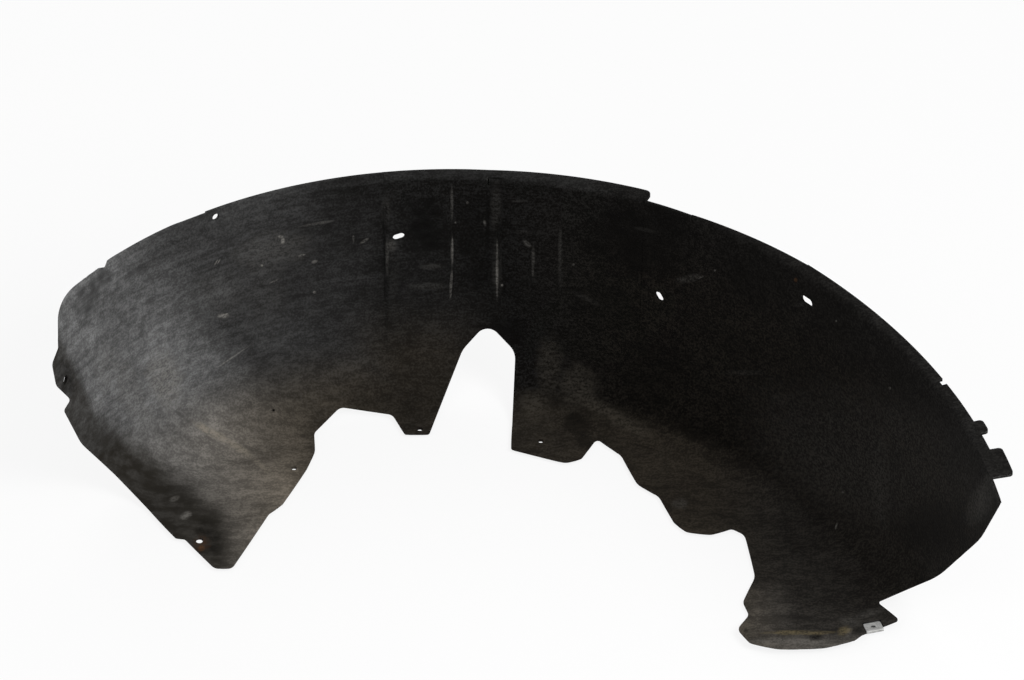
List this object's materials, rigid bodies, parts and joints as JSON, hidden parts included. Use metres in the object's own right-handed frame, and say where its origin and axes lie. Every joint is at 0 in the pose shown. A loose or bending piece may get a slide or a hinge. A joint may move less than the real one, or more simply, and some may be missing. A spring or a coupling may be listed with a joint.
{
  "type": "wheel arch liner",
  "caption": "Pressed felt wheel arch liner: a curved roof and a flat inboard wall with a trimmed edge, a strut notch, fixing holes and a clip nut on its foot.",
  "frame": {"origin": "centre of the part's footprint, on the floor that its flat inboard wall lies on", "axes": "+X along the car towards the foot with the clip nut, +Y towards the crown of the arch, +Z outboard, along the wheel's axle"},
  "size_m": [0.8622, 0.506, 0.2401],
  "materials": {
    "felt": "dusty needled felt",
    "clip_steel": "dull zinc plate"
  },
  "bodies": {
    "root": {"liner_shell": "felt", "clip_nut": "clip_steel"}
  },
  "joints": []
}
